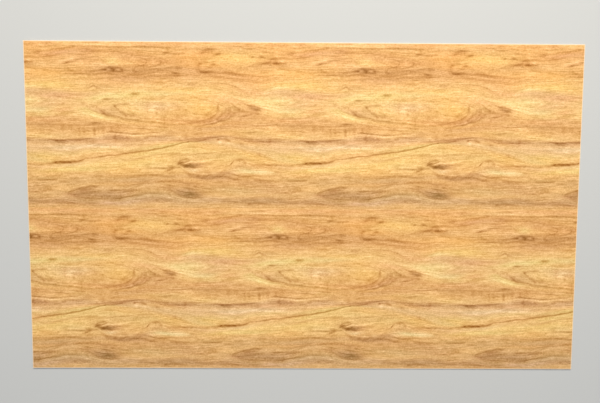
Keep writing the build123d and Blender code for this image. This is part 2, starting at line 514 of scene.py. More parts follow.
      (870, 229, 1), (924, 247, 1)], 14, (11, -2, 0)),
    ([(0, 247, 1), (40, 252, .7), (90, 256, 0)], 10, (9, -2, 0)),
    ([(188, 243, 0), (212, 257, .8), (245, 270, 1), (285, 281, 1), (330, 290, .8),
      (380, 296, .5), (430, 300, 0)], 5.0, (11, 0, 0)),
    ([(700, 366, .3), (720, 366, .9), (750, 367, .8), (775, 371, 0)], 4.4, (14, -2, 3)),
    ([(198, 383, 0), (260, 381, .9), (320, 384, 1), (380, 388, .5), (420, 390, 0)],
     6.0, (10, -5, 2)),
]

# Spots, dashes and washes. Each: x, y, half-length, half-height in mm,
# (tone, orange, pink), and optionally a slope.
SPOTS = [
    # -- broad washes of tone
    (90, 150, 150, 26, (6, 2, 0)),
    (60, 205, 120, 22, (-7, -5, 2)),
    (150, 205, 80, 14, (-9, -1, 3)),
    (35, 176, 60, 7, (-8, -6, 1)),
    (420, 196, 150, 20, (15, -1, -1)),
    (640, 235, 70, 34, (7, 3, -1)),
    (470, 235, 70, 26, (3, -2, 2)),
    (300, 200, 60, 12, (8, -1, 0)),
    (325, 62, 60, 20, (7, -1, 0)),
    (322, 72, 24, 12, (19, -3, -1)),
    (190, 40, 90, 14, (-8, -1, 1)),
    (450, 125, 120, 17, (-14, 0, 0)),
    (330, 122, 90, 20, (-9, -2, 0)),
    (540, 105, 90, 14, (-9, -1, 0)),
    (360, 143, 90, 14, (-4, -1, 1)),
    (760, 55, 110, 26, (13, 1, -2)),
    (700, 120, 110, 16, (-10, -1, 1)),
    (840, 150, 80, 22, (-3, 1, 2)),
    (850, 182, 60, 10, (-7, -1, 3)),
    (910, 166, 30, 7, (10, -2, 0)),
    (50, 55, 60, 14, (-2, 3, 1)),
    (270, 248, 50, 15, (-7, -4, 2)),
    (240, 268, 60, 9, (12, -1, 0)),
    (40, 248, 70, 10, (9, -3, 0)),
    (60, 282, 90, 13, (-11, 0, 2)),
    (180, 296, 130, 14, (-8, 0, 0)),
    (140, 318, 170, 15, (-7, 0, 0)),
    (330, 312, 60, 16, (-12, 0, 0)),
    (560, 310, 190, 14, (-8, 2, 0)),
    (430, 300, 80, 10, (-3, 2, 0)),
    (760, 300, 110, 16, (-10, 0, 1)),
    (740, 262, 60, 18, (-7, 0, 0)),
    (842, 241, 23, 9.5, (-30, 0, 1)),
    (840, 275, 70, 14, (-9, -1, 2)),
    (900, 285, 50, 10, (-6, 2, 2)),
    (840, 325, 90, 12, (5, -1, -1)),
    (60, 345, 60, 7, (8, 1, -1)),
    (150, 385, 130, 12, (10, -6, 1)),
    (330, 378, 70, 10, (9, -5, 3)),
    (350, 351, 44, 9, (-20, -4, 1)),
    (480, 358, 60, 11, (-2, -5, 2)),
    (620, 357, 50, 6, (-16, -5, 2)),
    (60, 415, 90, 13, (6, 1, -1)),
    (250, 445, 130, 20, (9, 1, 1)),
    (450, 440, 130, 22, (11, -2, -2)),
    (640, 395, 130, 22, (9, -2, -1)),
    (760, 420, 90, 14, (8, 0, -1)),
    (170, 453, 90, 7, (10, -4, 2)),
    (60, 465, 70, 10, (3, -3, 2)),
    (370, 470, 60, 8, (-2, 2, 0)),
    (640, 465, 50, 10, (7, -3, 3)),
    (815, 472, 46, 8, (20, -4, 0)),
    (880, 474, 46, 8, (14, -4, 2)),
    (450, 505, 170, 12, (-8, -1, 0)),
    (120, 505, 150, 14, (-9, 0, 0)),
    (700, 497, 80, 9, (-17, -4, 0)),
    (780, 512, 110, 14, (-8, -3, 0)),
    (880, 522, 70, 14, (-4, -1, 0)),
    (620, 520, 70, 14, (-8, 2, 0)),
    (500, 532, 70, 12, (-6, -1, 1)),
    (560, 548, 40, 12, (-12, -3, 0)),
    (185, 556, 36, 13, (-20, -2, 0)),
    (250, 552, 60, 18, (-17, -3, 0)),
    (320, 562, 70, 14, (-16, -5, 0)),
    (365, 545, 60, 12, (-9, -3, 0)),
    (606, 545, 30, 10, (-17, -1, 0)),
    (612, 561, 34, 9, (-25, -2, -1)),
    (578, 565, 28, 6, (-14, -1, 0)),
    (480, 577, 120, 14, (-3, -7, 1)),
    (680, 575, 60, 12, (-6, -7, 1)),
    (780, 545, 80, 16, (4, 1, -1)),
    (860, 578, 80, 14, (-14, -3, 0)),
    (60, 588, 80, 9, (-10, -4, 0)),
    (60, 565, 70, 8, (-2, 1, 0)),
    (200, 592, 100, 9, (-11, -5, 1)),
    (292, 586, 20, 7.2, (20, -2, 5)),
    (330, 592, 60, 7, (-4, -6, 2)),
    (460, 5, 420, 9, (-3, 1, 3)),
    (300, 12, 90, 6, (9, -1, 0)),
    (120, 28, 90, 8, (3, 2, 0)),
    (680, 45, 50, 16, (-3, 3, 1)),
    # -- washes over those, where a stretch is browner or more golden
    (180, 6, 90, 7, (9, 0, -1)),
    (660, 8, 50, 7.2, (8, 1, -1)),
    (215, 28, 85, 10, (-11, 1, 0)),
    (120, 42, 40, 8, (-9, -2, 2)),
    (345, 44, 50, 9, (-8, 0, 0)),
    (660, 44, 45, 9, (-10, 3, 1)),
    (245, 66, 50, 12, (-8, 0, 1)),
    (365, 62, 28, 8, (-8, 0, 1)),
    (465, 74, 75, 14, (-14, 0, 0)),
    (345, 98, 90, 13, (-14, -1, 0)),
    (395, 110, 60, 8, (-7, -1, 0)),
    (630, 98, 70, 14, (-13, 0, 0)),
    (590, 130, 55, 8, (-7, 1, 0)),
    (820, 126, 70, 9, (-11, 0, 0)),
    (60, 160, 110, 18, (9, 0, -2)),
    (110, 212, 130, 10, (14, 0, -1)),
    (30, 203, 40, 12, (8, 0, -1)),
    (880, 215, 55, 20, (14, 0, -2)),
    (320, 194, 300, 12, (6, 0, -1)),
    (600, 178, 120, 12, (5, 3, -1)),
    (240, 250, 50, 11, (13, 1, -1)),
    (60, 266, 90, 12, (14, 0, -2)),
    (280, 273, 50, 9, (11, 1, 0)),
    (500, 282, 120, 8, (-8, 1, 1)),
    (600, 292, 90, 9, (-8, 1, 1)),
    (700, 276, 60, 12, (-8, 0, 1)),
    (870, 284, 60, 10, (12, -1, -3)),
    (500, 314, 40, 7.2, (9, 1, 0)),
    (810, 326, 70, 8, (6, 0, -1)),
    (100, 367, 50, 7, (13, -1, 0)),
    (280, 366, 45, 7, (-10, -1, 1)),
    (560, 371, 80, 8, (11, 2, -2)),
    (480, 384, 90, 8, (10, 0, -3)),
    (430, 408, 60, 9, (8, 2, -2)),
    (240, 399, 140, 8, (7, -1, -1)),
    (680, 416, 45, 9, (-9, -1, -2)),
    (40, 434, 70, 8, (11, 0, -2)),
    (596, 457, 42, 12, (-17, -6, -3)),
    (170, 467, 150, 9, (8, 0, -4)),
    (374, 468, 34, 8, (-7, 0, 0)),
    (400, 508, 110, 12, (-13, -1, 0)),
    (594, 518, 30, 9, (-8, 0, 0)),
    (925, 545, 85, 13, (-14, -4, 0)),
    (760, 538, 80, 10, (-9, -5, -2)),
    (480, 545, 60, 16, (-9, 0, -2)),
    (590, 540, 50, 10, (-8, -1, -1)),
    (245, 585, 80, 11, (-15, -2, -2)),
    (450, 579, 90, 13, (-12, 0, 0)),
    (570, 575, 60, 13, (-8, -2, -1)),
    (28, 114, 130, 20, (-2, 9, 1)),
    (90, 148, 120, 12, (0, 5, 1)),
    (596, 56, 50, 30, (-2, 6, 2)),
    (770, 60, 76, 17, (-1, 5, -1)),
    (716, 84, 90, 9, (-3, 8, 1)),
    (40, 36, 80, 22, (-3, 4, 1)),
    (628, 226, 50, 40, (0, 1, 0)),
    (580, 300, 110, 12, (-2, 3, 0)),
    (62, 420, 84, 9, (0, 5, -1)),
    (826, 416, 88, 15, (-2, 6, -2)),
    (420, 440, 210, 22, (0, 6, 0)),
    (130, 190, 130, 11, (-3, -5, 1)),
    (480, 235, 76, 20, (-1, -4, 1)),
    (300, 262, 66, 12, (-3, -4, 0)),
    (180, 360, 200, 7, (-1, -6, 0)),
    (150, 387, 190, 13, (3, -8, 2)),
    (470, 350, 100, 9, (1, -6, 0)),
    (780, 376, 160, 9, (3, -9, 0)),
    (670, 351, 80, 9, (-2, -8, 2)),
    (430, 574, 200, 24, (-2, -8, -2)),
    (770, 578, 190, 20, (-3, -5, -1)),
    (96, 580, 150, 17, (-4, -4, 0)),
    (400, 530, 420, 24, (-2, -3, -1)),
    (600, 558, 42, 11, (-9, -4, -1)),
    (800, 546, 110, 12, (-8, -1, -1)),
    (900, 70, 38, 9, (-9, 0, 1)),
    (744, 243, 60, 16, (4, 0, 0)),
    (300, 470, 30, 8, (-1, 3, 1)),
    (590, 520, 70, 9, (-6, 0, 0)),
    (290, 545, 44, 9, (6, 0, 0)),
    (812, 30, 90, 8, (3, 1, 0)),
    (702, 283, 70, 10, (-5, 0, 1)),
    (14, 236, 42, 13, (6, 0, 0)),
    (126, 361, 70, 7, (0, -5, 1)),
    (440, 397, 150, 8, (-2, 0, 1)),
    (604, 385, 84, 13, (-3, 2, 1)),
    (596, 448, 36, 11, (-9, -4, 0)),
    (222, 553, 80, 17, (-1, -4, -1)),
    (424, 559, 150, 15, (-3, -5, -1)),
    (872, 585, 80, 12, (-4, -4, -1)),
    (472, 71, 90, 15, (-2, 1, 1)),
    (384, 49, 60, 12, (-4, 3, 1)),
    (776, 60, 60, 14, (-3, 3, 1)),
    (320, 69, 30, 10, (-2, 3, 1)),
    (318, 103, 32, 8, (-9, -2, 0)),
    (174, 72, 50, 8, (0, -5, 1)),
    (746, 213, 50, 9, (-5, -1, 2)),
    (326, 334, 42, 11, (-7, -2, 0)),
    (866, 360, 76, 7, (-3, -6, 1)),
    (660, 493, 52, 8, (-6, -3, 0)),
    (240, 14, 220, 7, (4, 0, 0)),
    (460, 42, 620, 56, (-5, 1, 0)),
    (508, 237, 62, 13, (5, -5, 1)),
    (150, 462, 170, 14, (1, 5, 1)),
    (240, 561, 64, 8, (-8, -2, 0)),
    (588, 552, 44, 12, (-5, -2, 0)),
    (846, 243, 26, 8, (0, -5, -2)),
    (715, 283, 46, 8, (0, -5, 0)),
    (160, 357, 130, 7, (0, -5, 1)),
    (290, 503, 230, 13, (0, -4, -2)),
    (50, 500, 70, 7, (2, -4, -2)),
    (430, 503, 120, 8, (1, -3, -1)),
    (770, 585, 90, 11, (-12, -3, -1)),
    # -- dashes and specks
    (84, 9, 16, 4.4, (-26, -1, 0)),
    (108, 7, 12, 4, (-14, 0, 0)),
    (126, 28, 18, 3.4, (-19, -1, 0)),
    (184, 20.5, 15, 4.2, (-30, -1, 0)),
    (234, 32, 22, 6.6, (-15, 1, 1)),
    (264, 5, 16, 3.6, (-16, -1, 0)),
    (53, 41.5, 11, 4, (-32, -2, 0)),
    (240, 47, 7, 4.8, (-12, 0, 2)),
    (214, 52, 16, 4.8, (-8, 0, 3)),
    (514, 40, 11, 3.6, (-40, -1, 0), 0.12),
    (513, 73, 26, 6, (-15, 1, 2)),
    (437, 88, 12, 4.3, (-24, 0, 1)),
    (152, 79, 15, 3.4, (-46, -1, 0), -0.03),
    (134, 73.5, 9, 4, (21, -3, 3)),
    (168, 67, 36, 4.6, (17, -3, 4), -0.2),
    (232, 53, 18, 4.8, (10, 0, 5), -0.2),
    (20, 93, 14, 3.6, (-10, 1, 0)),
    (92, 92, 14, 3.6, (-8, 0, 0)),
    # double-eyed knot
    (293, 103.5, 9, 4.6, (-27, 0, 1)),
    (308, 95.5, 11, 4.2, (-44, 1, 1)),
    (322, 100, 7.5, 5.8, (-40, 1, 1)),
    (340, 95, 11, 4.2, (-44, 1, 1)),
    (357, 102, 8.5, 5.2, (-32, 1, 1)),
    (306, 103, 6, 3.2, (19, -2, 2)),
    (342, 103, 8, 3.2, (19, -2, 2)),
    (311, 109.5, 13, 2.8, (-17, 0, 0)),
    (345, 109.5, 15, 2.8, (-17, 0, 0)),
    (325, 106, 4.4, 3.6, (-22, 0, 0)),
    (291, 105, 8, 3.4, (-18, 0, 0)),
    (322, 90, 16, 7.2, (-6, -5, -1)),
    (404, 108, 9, 6.6, (-22, 1, 1)),
    (551, 113.5, 10, 3.2, (-52, 0, 0), 0.1),
    (564, 94, 13, 3.6, (-20, 0, 1)),
    (548, 123, 16, 4.8, (-3, 1, 2)),
    (612, 155, 13, 4.5, (-30, -4, -1)),
    (478, 148, 12, 3.6, (-8, 1, 2)),
    (620, 64, 12, 9, (-7, 1, 1)),
    # hooked mark
    (683, 28.5, 14, 4.3, (-32, 1, 1)),
    (661, 32, 12, 5.5, (-23, 1, 1), -0.2),
    (648, 40, 7, 6.6, (-17, 0, 1), -0.6),
    (711, 43.5, 12, 3.0, (-58, -3, 0), -0.12),
    (690, 82, 9, 2.8, (-26, 0, 0)),
    (882, 78, 22, 3.4, (-15, 1, 1)),
    (865, 54, 9, 3.2, (-16, 0, 0)),
    (697, 45, 12, 3.1, (-18, -1, 0)),
    (652, 71, 16, 6, (-20, 0, 0), -0.25),
    (642, 78, 6, 7, (-15, 1, 1)),
    (689, 82.5, 10, 4, (-30, 0, 0)),
    (682, 94, 18, 3.4, (-11, 1, 1)),
    (635, 92, 7, 12, (-17, 1, 1)),
    (657, 109.5, 16, 4.8, (-20, 1, 0)),
    (755, 108, 26, 6, (-10, 1, 2)),
    (686, 53, 8, 4.8, (-9, 0, 1)),
    (816, 12, 12, 3.8, (-19, 0, 0)),
    (834, 54.5, 10, 4, (-32, -4, 0)),
    (865, 53.5, 11, 4.6, (-34, -4, 0)),
    (803, 43, 20, 2.9, (-10, -1, 0)),
    (791, 75, 10, 3.6, (-19, -3, 0)),
    (878, 36, 12, 3.4, (-17, -1, 0)),
    (874, 100, 13, 4.3, (-13, 1, 1)),
    (926, 76, 13, 4.6, (-44, 1, 0)),
    (948, 76.5, 10, 4.2, (-34, 1, 0)),
    (912, 75, 9, 5, (-16, 1, 2)),
    (911, 62, 13, 5, (-19, 0, 1)),
    (937, 69, 10, 4.8, (10, -1, 5)),
    # middle
    (250, 169, 7, 5.3, (16, -2, 1)),
    (162, 178, 6, 3.6, (-16, -1, 0)),
    (35, 189, 12, 3.6, (-12, -3, 0)),
    (110, 188, 12, 3.6, (-10, -3, 0)),
    (62, 198, 22, 3.6, (-9, -3, 1)),
    (402, 190, 14, 4.4, (-54, -6, -2)),
    (300, 209.5, 17, 4.4, (-50, -6, -2)),
    (455, 194, 14, 3.6, (-10, -3, 0)),
    (430, 192, 10, 3.6, (-8, -2, 0)),
    (460, 174, 26, 5.5, (-13, -4, 0)),
    (497, 176, 14, 4.8, (-9, -3, 0)),
    (342, 186, 22, 5.4, (-8, -4, 0)),
    (572, 190, 16, 3.6, (-9, -1, 0)),
    (442, 205, 14, 3.6, (-13, -2, 0)),
    (580, 210, 24, 4.8, (-12, 0, 1)),
    (470, 224, 26, 4.8, (-10, -2, 2)),
    (216, 228, 9, 6, (-17, -2, 1)),
    (64, 227, 14, 3.6, (-10, -2, 1)),
    (95, 228, 10, 3.6, (-9, -2, 1)),
    (130, 226, 22, 3.6, (-10, 0, 2)),
    (30, 241, 10, 3.6, (-9, -3, 0)),
    (168, 254, 12, 3.8, (-24, -5, 0)),
    (132, 250, 34, 9, (-8, 0, 3)),
    (138, 260, 8, 3.6, (-9, 0, 1)),
    (120, 271, 22, 4.8, (-13, 0, 1)),
    (28, 265, 12, 6, (-12, -2, 1)),
    (40, 275, 24, 4.1, (-12, 0, 3)),
    (22, 282, 10, 4.1, (-15, 0, 2)),
    (85, 288, 22, 4.8, (-10, 1, 2)),
    (180, 285, 22, 4.8, (-12, 0, 0)),
    (251, 295.5, 11, 4.2, (-38, -5, -1)),
    (269, 295.5, 9, 3.8, (-32, -5, -1)),
    (232, 303, 10, 3.6, (-14, 0, 0)),
    (285, 256, 9, 5.5, (-18, 0, 2)),
    (242, 250, 14, 7.2, (-10, -3, 1)),
    (300, 270, 18, 6, (-10, -2, 1)),
    (250, 233, 18, 4.8, (-8, -3, 1)),
    (397, 267.5, 9, 4.6, (-30, -3, 0)),
    (381, 266, 9, 4.1, (-18, -1, 1)),
    (367, 270, 6, 4.8, (-19, 1, 4)),
    (420, 277, 16, 3.8, (-8, 0, 0)),
    (447, 229, 8, 7.2, (-12, -2, 1)),
    (448, 246, 8, 8, (-14, -1, 2)),
    (465, 257, 10, 4.8, (-15, 0, 3)),
    (483, 258, 5, 4.8, (-17, 0, 2)),
    (487, 246, 9, 4.8, (-14, -1, 2)),
    (510, 245, 10, 4.3, (-15, -5, 0)),
    (498, 232, 4, 9, (-9, -1, 2)),
    (505, 262, 12, 4.8, (-12, -2, 1)),
    (548, 228, 9, 7.2, (-10, -2, 1)),
    (562, 241, 14, 7.2, (-11, -1, 2)),
    (586, 250, 12, 6, (-11, 0, 1)),
    (565, 268, 22, 4.8, (-11, 1, 2)),
    (556, 277, 12, 4.8, (-8, 0, 2)),
    (632, 249, 8, 4.8, (-9, 0, 0)),
    (650, 249, 6, 6, (-10, -1, 0)),
    (648, 210, 10, 4.8, (-13, -2, 0)),
    (690, 272, 18, 6, (-7, 2, 1)),
    (672, 265, 16, 7.2, (-5, 2, 1)),
    (707, 241, 3.6, 14, (-26, -3, 0)),
    (721, 246, 5, 12, (-9, -1, 0)),
    (744, 246, 10, 9, (-15, -2, 1)),
    (735, 262, 8, 7, (-10, 0, 1)),
    (752, 262, 5, 8, (-8, 0, 1)),
    (783, 243, 7, 6.6, (-19, -1, 0)),
    (797, 248, 8, 7.2, (-14, 0, 1)),
    (842, 244, 18, 7, (-22, 2, 2)),
    (705.5, 242, 3.2, 13, (-27, -1, 0)),
    (744, 246, 3.4, 12, (-15, -1, 0)),
    (826, 232, 12, 4.8, (-14, -3, 0)),
    (852, 259, 8, 4.8, (-13, 0, 2)),
    (805, 266, 16, 4.8, (-12, 0, 2), -0.1),
    (830, 262, 18, 4.1, (-11, 0, 3), -0.1),
    (788, 280, 12, 4.8, (-11, 0, 1), -0.3),
    (875, 277, 24, 4.8, (-11, 1, 2)),
    (915, 270, 20, 4.8, (-10, 1, 1)),
    (668, 288, 20, 4.8, (-8, 2, 1)),
    (634, 294, 22, 6, (-5, 2, 0)),
    (640, 315, 9, 3.6, (-14, 0, 0)),
    (822, 328, 9, 4.8, (-25, -6, -1)),
    (839, 327, 7, 4.8, (-15, -2, 0)),
    (899, 311, 6, 6, (25, -2, 1)),
    (345, 305, 18, 4.8, (-9, 1, 0)),
    (535, 328, 9, 4.8, (-14, -1, 1)),
    (468, 330, 16, 3.6, (-9, -1, 0)),
    (180, 325, 10, 4.8, (-12, 1, 0)),
    (197, 322, 4, 14, (-25, 0, 0)),
    (214, 325, 5, 13, (-17, 0, 0)),
    (252, 324, 4, 14, (-27, -1, 0)),
    (168, 318, 3.6, 13, (-12, 0, 0)),
    (179, 329, 3.2, 11, (-6, 0, 0)),
    (229, 331, 3.2, 10, (-8, 0, 0)),
    (266, 329, 3.6, 11, (-12, 0, 0)),
    (300, 331, 3.4, 10, (-8, 0, 0)),
    (331, 330, 4, 9, (-10, 0, 0)),
    (205, 322, 3.2, 12, (6, 0, 0)),
    (242, 327, 3.4, 13, (5, 0, 0)),
    (276, 321, 3.2, 12, (5, 0, 0)),
    (134, 318, 4, 12, (-16, 0, 0)),
    (285, 323, 5, 14, (-22, 1, 1)),
    (314, 321, 7, 12, (-19, 2, 1)),
    (252, 338, 5, 4.8, (-22, -1, 0)),
    # dark streak and brown smears
    (115, 360, 11, 3.4, (-13, 1, 0)),
    (136, 359, 9, 3.1, (-12, 1, 0)),
    (194, 356, 8, 3.8, (-16, 1, 1)),
    (93, 359, 9, 3.4, (-10, 0, 0)),
    (8, 354, 10, 4.8, (-10, 0, 0)),
    (327, 347, 5, 8, (-26, 2, 3)),
    (347, 341, 8, 4.8, (-12, 1, 2)),
    (373, 352, 10, 7.2, (-10, 1, 3)),
    (327, 364, 4, 7.2, (-9, 0, 2)),
    (475, 345, 4, 6.6, (-14, 1, 2)),
    (446, 351, 14, 4.8, (-10, 0, 0), -0.3),
    (418, 379, 6, 4.8, (-10, -2, 1)),
    (125, 370, 40, 4.8, (-9, 0, 2)),
    (588, 343, 8, 6.5, (-26, 0, 1)),
    (625, 337, 11, 4.4, (-19, -1, 0)),
    (660, 352, 12, 4.8, (-4, 1, 2)),
    (706, 354.5, 4.6, 4.3, (-32, 1, 2)),
    (738, 358, 12, 3.8, (-20, -1, 1)),
    (712, 364, 9, 5.5, (14, -3, 4)),
    (790, 369, 9, 6.5, (-25, -3, 0)),
    (822, 372, 14, 3.6, (-10, -1, 1)),
    (897, 356, 6, 7, (-30, 3, 2)),
    (870, 366, 50, 6, (-4, 1, 5)),
    (660, 375, 12, 4.1, (-9, -1, 1)),
    (672, 360, 9, 4.1, (-10, 0, 3)),
    (857, 408, 7, 4.6, (-34, -2, 0)),
    (865, 409, 18, 3.6, (-8, 0, 0)),
    (805, 421, 12, 4.1, (-12, -1, 0)),
    (30, 396, 10, 7.2, (-12, -4, 0)),
    (930, 397, 14, 6, (-9, -4, 1)),
    (85, 446, 8, 4.8, (-24, -1, 0)),
    (108, 441, 5, 5.3, (-14, 2, 0)),
    (135, 441, 20, 4.3, (-12, 2, 0)),
    (158, 441, 8, 4.3, (-9, 2, 0)),
    (201, 434, 9, 4.1, (-14, -1, 0)),
    (465, 393, 12, 3.6, (-10, 1, 0)),
    (48, 455, 7, 4.8, (-8, -2, 1)),
    (270, 454, 12, 3.6, (-8, -3, 0)),
    (10, 475, 12, 7.2, (-8, 0, 2)),
    (925, 474, 10, 4.8, (-10, -1, 1)),
    # ringed knot
    (585, 452, 20, 6.2, (-62, 1, 0), 0.05),
    (599, 446, 9, 3.6, (-34, 2, 0), -0.45),
    (571, 436, 10, 3.1, (-16, -1, 0), -0.5),
    (624, 450, 26, 8, (-22, -2, 0)),
    (612, 458.5, 12, 3.4, (-22, -2, 0)),
    (612, 469, 20, 6.7, (14, -4, 4)),
    (528, 455.5, 14, 3.8, (-38, -4, 0)),
    (526, 467, 11, 3.8, (-46, -4, 0), -0.3),
    (517, 470, 7, 3.1, (-10, -1, 0), -0.2),
    (534, 476, 11, 3.6, (-25, -3, 0), -0.1),
    (555, 459, 14, 3.6, (-14, -1, 0)),
    (445, 452, 12, 3.6, (-10, -2, 0)),
    (363, 465, 10, 3.6, (-9, 1, 0)),
    (416, 467, 6, 4.8, (-12, 1, 0)),
    (436, 476, 10, 3.6, (-6, -1, 0)),
    (590, 477, 10, 6, (-14, 0, 1)),
    (605, 484, 12, 4.8, (-14, -1, 0)),
    (648, 498, 26, 7.2, (-10, 0, 0)),
    (632, 480, 7, 7.2, (-15, 0, 1), -0.5),
    (641, 472, 12, 4.8, (-8, -1, 0)),
    (668, 475, 8, 5.5, (-14, 0, 2)),
    (717, 475, 9, 4.8, (-12, 0, 2)),
    (735, 479, 30, 7.2, (-9, -3, 1)),
    (729, 463, 8, 4.3, (-9, -3, 0)),
    # curled mark
    (755, 444, 5, 5.5, (-26, 0, 0), -0.8),
    (787, 427, 10, 3.6, (-12, -1, 0)),
    (812, 425, 14, 4.8, (-8, -1, 0)),
    (807, 440, 5, 4.8, (-10, 0, 1)),
    (785, 449, 22, 4.8, (-8, -1, 1)),
    (830, 438, 5, 4.8, (8, 2, 2)),
    (835, 450, 22, 6, (-6, 0, 1)),
    (895, 448.5, 12, 3.8, (-14, 2, 1)),
    (872, 455, 40, 6, (-4, 0, 5)),
    (810, 490, 16, 4.8, (-12, 1, 0)),
    (857, 503, 10, 4.1, (-14, -1, 0)),
    (820, 510, 14, 4.8, (-9, 1, 2)),
    (806, 520, 9, 4.1, (-18, -2, 0)),
    (788, 519, 8, 4.8, (-12, -1, 1)),
    (730, 526, 14, 6, (-9, 0, 1)),
    (715, 530, 14, 3.6, (-10, 1, 1)),
    (823, 530, 14, 4.1, (-13, 1, 1)),
    (690, 516, 9, 4.8, (-9, 1, 1)),
    (912, 524, 20, 4.3, (-9, 1, 2)),
    (880, 512, 24, 6, (-9, 1, 2)),
    # figure at the foot
    (165, 562, 22, 6.6, (-14, 1, 2)),
    (212, 571, 20, 6, (-12, 0, 2)),
    (240, 532, 14, 4.3, (-12, 0, 0)),
    (212, 545, 20, 7.2, (-9, 1, 2)),
    (258, 528, 9, 4.3, (-12, -1, 0)),
    (234, 551, 22, 4.8, (-9, -1, 0)),
    (312, 547, 16, 5.5, (-16, 0, 0)),
    (310, 530, 14, 4.8, (-10, -1, 0)),
    (358, 549, 12, 4.8, (-12, -1, 0)),
    (330, 536.5, 13, 3.1, (16, -1, 2)),
    (370, 535, 24, 3.4, (10, 0, 1)),
    (480, 525, 24, 3.6, (12, 2, 0)),
    (430, 528, 16, 3.1, (9, 1, 1)),
    (360, 558, 18, 3.6, (10, -2, 2)),
    (510, 549, 14, 4.1, (14, -1, 1)),
    (470, 545, 16, 3.6, (8, 0, 1)),
    (508, 532, 13, 4.3, (-16, -1, 0)),
    (527, 530, 10, 4.1, (-16, -1, 0)),
    (455, 553, 14, 3.6, (-8, -2, 0)),
    (604, 556, 9, 8, (-10, 1, 2)),
    (626, 563, 11, 7, (-16, 0, 0)),
    (624, 529, 9, 6, (-22, 1, 0)),
    (590, 517, 14, 4.8, (-10, 1, 0)),
    (594, 535, 20, 4.8, (-9, 0, 0)),
    (585, 586, 12, 4.3, (-13, -2, 1)),
    (508, 582, 12, 3.6, (-10, -4, 1)),
    (557, 597, 8, 1.9, (-14, -3, 0)),
    (430, 566, 20, 3.6, (8, -5, 2)),
    (374, 574, 20, 4.3, (9, -3, 4)),
    (400, 585, 40, 6, (7, -5, 2)),
    (118, 585, 18, 4.8, (-10, 0, 0)),
    (70, 588, 34, 4.8, (-8, -1, 0)),
    (48, 575, 10, 4.8, (-12, 0, 1)),
    (15, 577, 12, 4.8, (-10, 0, 1)),
    (838, 577, 9, 5.3, (-14, -2, 1)),
    (805, 577, 8, 4.8, (-9, -1, 1)),
    (905, 570, 12, 4.8, (-10, 1, 2)),
    (820, 592, 12, 4.1, (-12, 2, 2)),
    (640, 571, 12, 4.8, (-10, -4, 0)),
    (880, 592, 20, 4.8, (-9, 0, 2)),
    (499, 71, 5, 11, (-12, 0, 0)),
    (447, 72, 4, 9, (-9, 0, 0)),
    (438, 70, 9, 10, (8, -1, 2)),
    (472, 72, 10, 12, (6, -1, 2)),
    (330, 113, 36, 7, (-13, 1, 0)),
    (672, 31, 22, 6, (-13, 0, 0)),
    (230, 320, 52, 3, (-11, -1, 0)),
    (804, 440, 4, 7, (-15, -1, 0)),
    (799, 433, 4, 4, (13, -2, 2)),
    (817, 436, 6, 5, (12, -2, 1)),
    (838, 440, 5, 7, (9, -1, 1)),
]

# The repeat is worked in patches, each with a material that holds only the
# marks that reach it, so that no shader is long.
COLUMNS = (0.0, 318.0, 636.0, REPEAT)
ROWS = (-SEAM, 150.0, 305.0, 455.0, ROW - SEAM)


def between(points, px):
    """A straight-line reading of a guide or a line at px."""
    for (ax, ay, *_), (bx, by, *_) in zip(points, points[1:]):
        if px <= bx:
            return ay + (by - ay) * (px - ax) / (bx - ax)
    return points[-1][1]


def level_at(px, py):
    """The grain field's level at a point of the repeat."""
    at, was = float(GUIDES[0][0]), None
    for h, points in GUIDES:
        here = between(points, px % REPEAT)
        if was is not None:
            at += min(max((py - was[1]) / (here - was[1]), 0.0), 1.0) * (h - was[0])
        was = (h, here)
    return at


def pace(px, py):
    """How fast the level rises with y at a point."""
    return max(0.1, (level_at(px, py + 4) - level_at(px, py - 4)) / 8)


def steps(a, b, count=9):
    return [a + (b - a) * i / (count - 1) for i in range(count)]


def reaches(item, left, right, top, foot):
    """The spot's places on the repeat's circle that touch the patch."""
    px, py, rx, ry = item[:4]
    level, ry = level_at(px, py), ry * pace(px, py)
    found = []
    for shift in (-REPEAT, 0.0, REPEAT):
        a, b = max(px + shift - 2.5 * rx, left), min(px + shift + 2.5 * rx, right)
        if a > b:
            continue
        for at in steps(a, b):
            high, low = level_at(at, top - 5), level_at(at, foot + 5)
            if low > level - 2.5 * ry and high < level + 2.5 * ry:
                found.append((px + shift, level))
                break
    return found


def crosses(item, left, right, top, foot):
    """True if the line touches the patch."""
    points, half = item[0], max((item[1], *item[3:4])) + 5
    a, b = max(points[0][0], left), min(points[-1][0], right)
    if a > b:
        return False
    ys = [between(points, at) for at in steps(a, b, 17)]
    return max(ys) > top - half and min(ys) < foot + half


def grain_noise(g, ring, level, long, high, detail=0.0, rough=0.5, offset=0.0):
    """Noise stretched along the grain, over a circle so that its ends meet."""
    radius = REPEAT / (2 * math.pi * long)
    where = g.vec(
        "MULTIPLY_ADD",
        g.join(ring[0], ring[1], level),
        (radius, radius, 1 / high),
        (offset, offset * 0.37, 0.0),
    )
    return g.noise(where, 1.0, detail, rough)


def centred(g, value):
    return g.math("SUBTRACT", value, 0.5)


